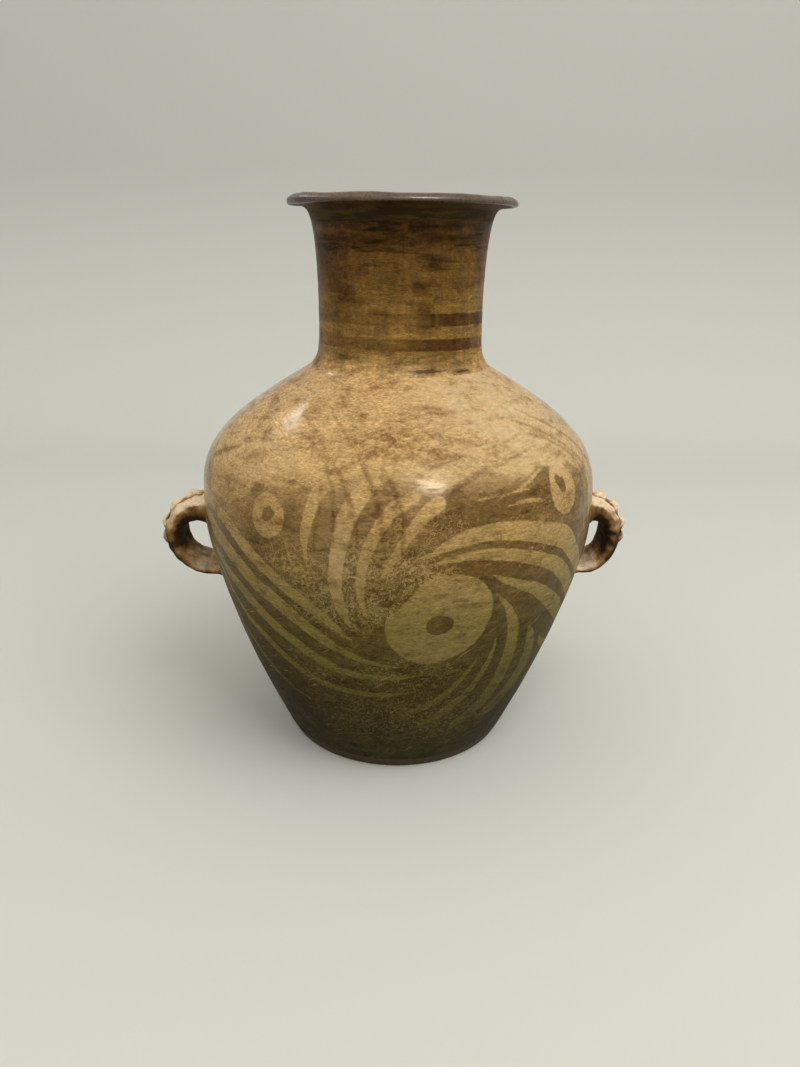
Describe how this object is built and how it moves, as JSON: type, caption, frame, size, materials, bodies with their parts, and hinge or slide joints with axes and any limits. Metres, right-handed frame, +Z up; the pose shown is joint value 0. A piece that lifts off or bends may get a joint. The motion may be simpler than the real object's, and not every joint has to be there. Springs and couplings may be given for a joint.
{
  "type": "painted pottery jar",
  "caption": "Coil-built earthenware storage jar with a tall neck, everted rim, two belly strap handles and painted swirls.",
  "frame": {"origin": "centre of the flat foot, where the jar's axis meets the surface that it stands on", "axes": "+Z up along the jar's axis, -Y towards the painted front, the handles on -X and +X"},
  "size_m": [0.3479, 0.2816, 0.386],
  "materials": {
    "base_clay": "fired, unslipped, scraped flat",
    "painted_clay": "burnished buff earthenware with dark painted swirls, worn",
    "neck_clay": "burnished earthenware with a brown wash and two painted bands",
    "rim_clay": "dark brown slip, worn at the edge",
    "handle_clay": "smoothed, unpainted orange-buff earthenware"
  },
  "bodies": {
    "root": {"base_disc": "base_clay", "lower_wall": "painted_clay", "shoulder_wall": "painted_clay", "neck": "neck_clay", "rim": "rim_clay", "left_handle": "handle_clay", "right_handle": "handle_clay", "left_handle_strip": "handle_clay", "right_handle_strip": "handle_clay"}
  },
  "joints": []
}
